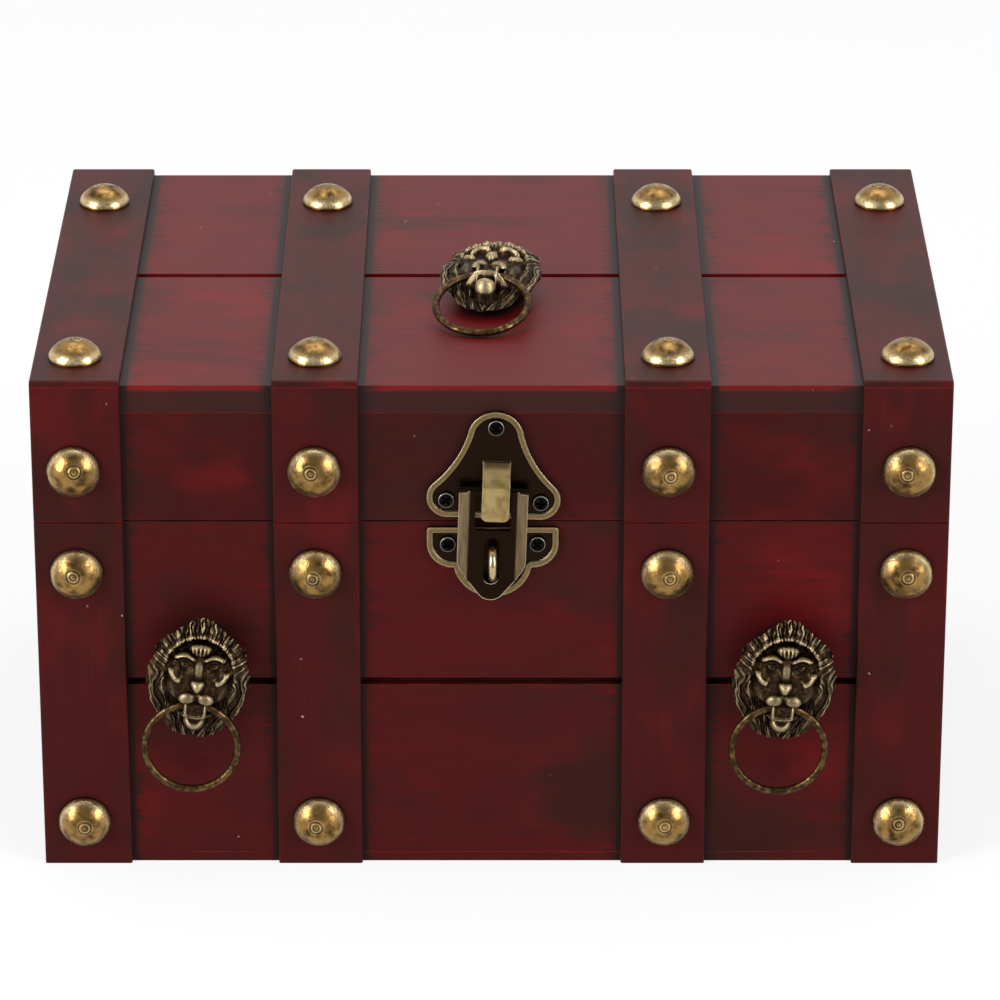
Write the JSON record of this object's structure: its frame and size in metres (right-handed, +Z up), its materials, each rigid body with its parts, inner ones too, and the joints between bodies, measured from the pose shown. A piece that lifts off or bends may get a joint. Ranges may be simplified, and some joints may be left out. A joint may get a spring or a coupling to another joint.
{
  "type": "treasure chest box",
  "caption": "Small flat-lidded wooden treasure chest with nailed straps, lion head ring pulls, a swinging hasp flap over a staple, and a lid on butt hinges.",
  "frame": {"origin": "middle of the flat underside", "axes": "+X along the front to the viewer's right, +Y from the front to the back, +Z up; the hasp and two of the lion heads face -Y"},
  "size_m": [0.22, 0.1653, 0.1384],
  "materials": {
    "stained_planks": "dark red stain under a black wash, satin",
    "stained_straps": "dark red stain with worn bright edges, satin",
    "antique_brass_studs": "antiqued, mottled",
    "cast_lion_bronze": "cast, darkened, worn bright on the high places",
    "ring_wire": "antiqued, polished by use",
    "hasp_sheet": "pressed sheet, blackened with worn rims",
    "staple_wire": "antiqued wire",
    "plated_screws": "dark plated",
    "hinge_steel": "antique plated"
  },
  "bodies": {
    "body": {"body_front_board": "stained_planks", "body_back_board": "stained_planks", "body_left_board": "stained_planks", "body_right_board": "stained_planks", "body_bottom_board": "stained_planks", "body_front_strap_left_end": "stained_straps", "body_front_strap_left_inner": "stained_straps", "body_front_strap_right_inner": "stained_straps", "body_front_strap_right_end": "stained_straps", "body_back_strap_left_end": "stained_straps", "body_back_strap_left_inner": "stained_straps", "body_back_strap_right_inner": "stained_straps", "body_back_strap_right_end": "stained_straps", "body_front_studs": "antique_brass_studs", "body_back_studs": "antique_brass_studs", "lion_head_left": "cast_lion_bronze", "lion_head_right": "cast_lion_bronze", "body_lion_screws": "plated_screws", "hasp_lower_plate": "hasp_sheet", "hasp_staple": "staple_wire", "body_hasp_screws": "plated_screws", "hinge_left_body_leaf": "hinge_steel", "hinge_left_pin": "hinge_steel", "hinge_right_body_leaf": "hinge_steel", "hinge_right_pin": "hinge_steel", "body_hinge_screws": "plated_screws"},
    "lid": {"lid_front_board": "stained_planks", "lid_back_board": "stained_planks", "lid_left_board": "stained_planks", "lid_right_board": "stained_planks", "lid_top_board": "stained_planks", "lid_front_strap_left_end": "stained_straps", "lid_front_strap_left_inner": "stained_straps", "lid_front_strap_right_inner": "stained_straps", "lid_front_strap_right_end": "stained_straps", "lid_back_strap_left_end": "stained_straps", "lid_back_strap_left_inner": "stained_straps", "lid_back_strap_right_inner": "stained_straps", "lid_back_strap_right_end": "stained_straps", "lid_top_strap_left_end": "stained_straps", "lid_top_strap_left_inner": "stained_straps", "lid_top_strap_right_inner": "stained_straps", "lid_top_strap_right_end": "stained_straps", "lid_front_studs": "antique_brass_studs", "lid_back_studs": "antique_brass_studs", "lid_top_studs": "antique_brass_studs", "lion_head_lid": "cast_lion_bronze", "lid_lion_screw": "plated_screws", "hasp_upper_plate": "hasp_sheet", "lid_hasp_screws": "plated_screws", "hinge_left_lid_leaf": "hinge_steel", "hinge_right_lid_leaf": "hinge_steel", "lid_hinge_screws": "plated_screws"},
    "hasp_flap": {"hasp_flap": "hasp_sheet"},
    "ring_left": {"pull_ring_left": "ring_wire"},
    "ring_right": {"pull_ring_right": "ring_wire"},
    "ring_lid": {"pull_ring_lid": "ring_wire"}
  },
  "joints": [
    {"name": "lid_hinge", "type": "hinge", "parent": "body", "child": "lid", "pos_m": [0, 0.07555, 0.09145], "axis": [-1, 0, 0], "range_deg": [0, 130]},
    {"name": "hasp_flap_hinge", "type": "hinge", "parent": "lid", "child": "hasp_flap", "pos_m": [0.00062, -0.0765, 0.10064], "axis": [-0.9994, 0, 0.0349], "range_deg": [0, 150]},
    {"name": "left_ring_swing", "type": "hinge", "parent": "body", "child": "ring_left", "pos_m": [-0.07172, -0.0815, 0.04624], "axis": [-0.9936, 0, 0.1132], "range_deg": [-17, 110]},
    {"name": "right_ring_swing", "type": "hinge", "parent": "body", "child": "ring_right", "pos_m": [0.07055, -0.0815, 0.04562], "axis": [-0.9976, 0, 0.0698], "range_deg": [-17, 110]},
    {"name": "lid_ring_swing", "type": "hinge", "parent": "lid", "child": "ring_lid", "pos_m": [-0.00089, -0.02084, 0.1345], "axis": [-0.9903, 0.1392, 0], "range_deg": [0, 127]}
  ]
}
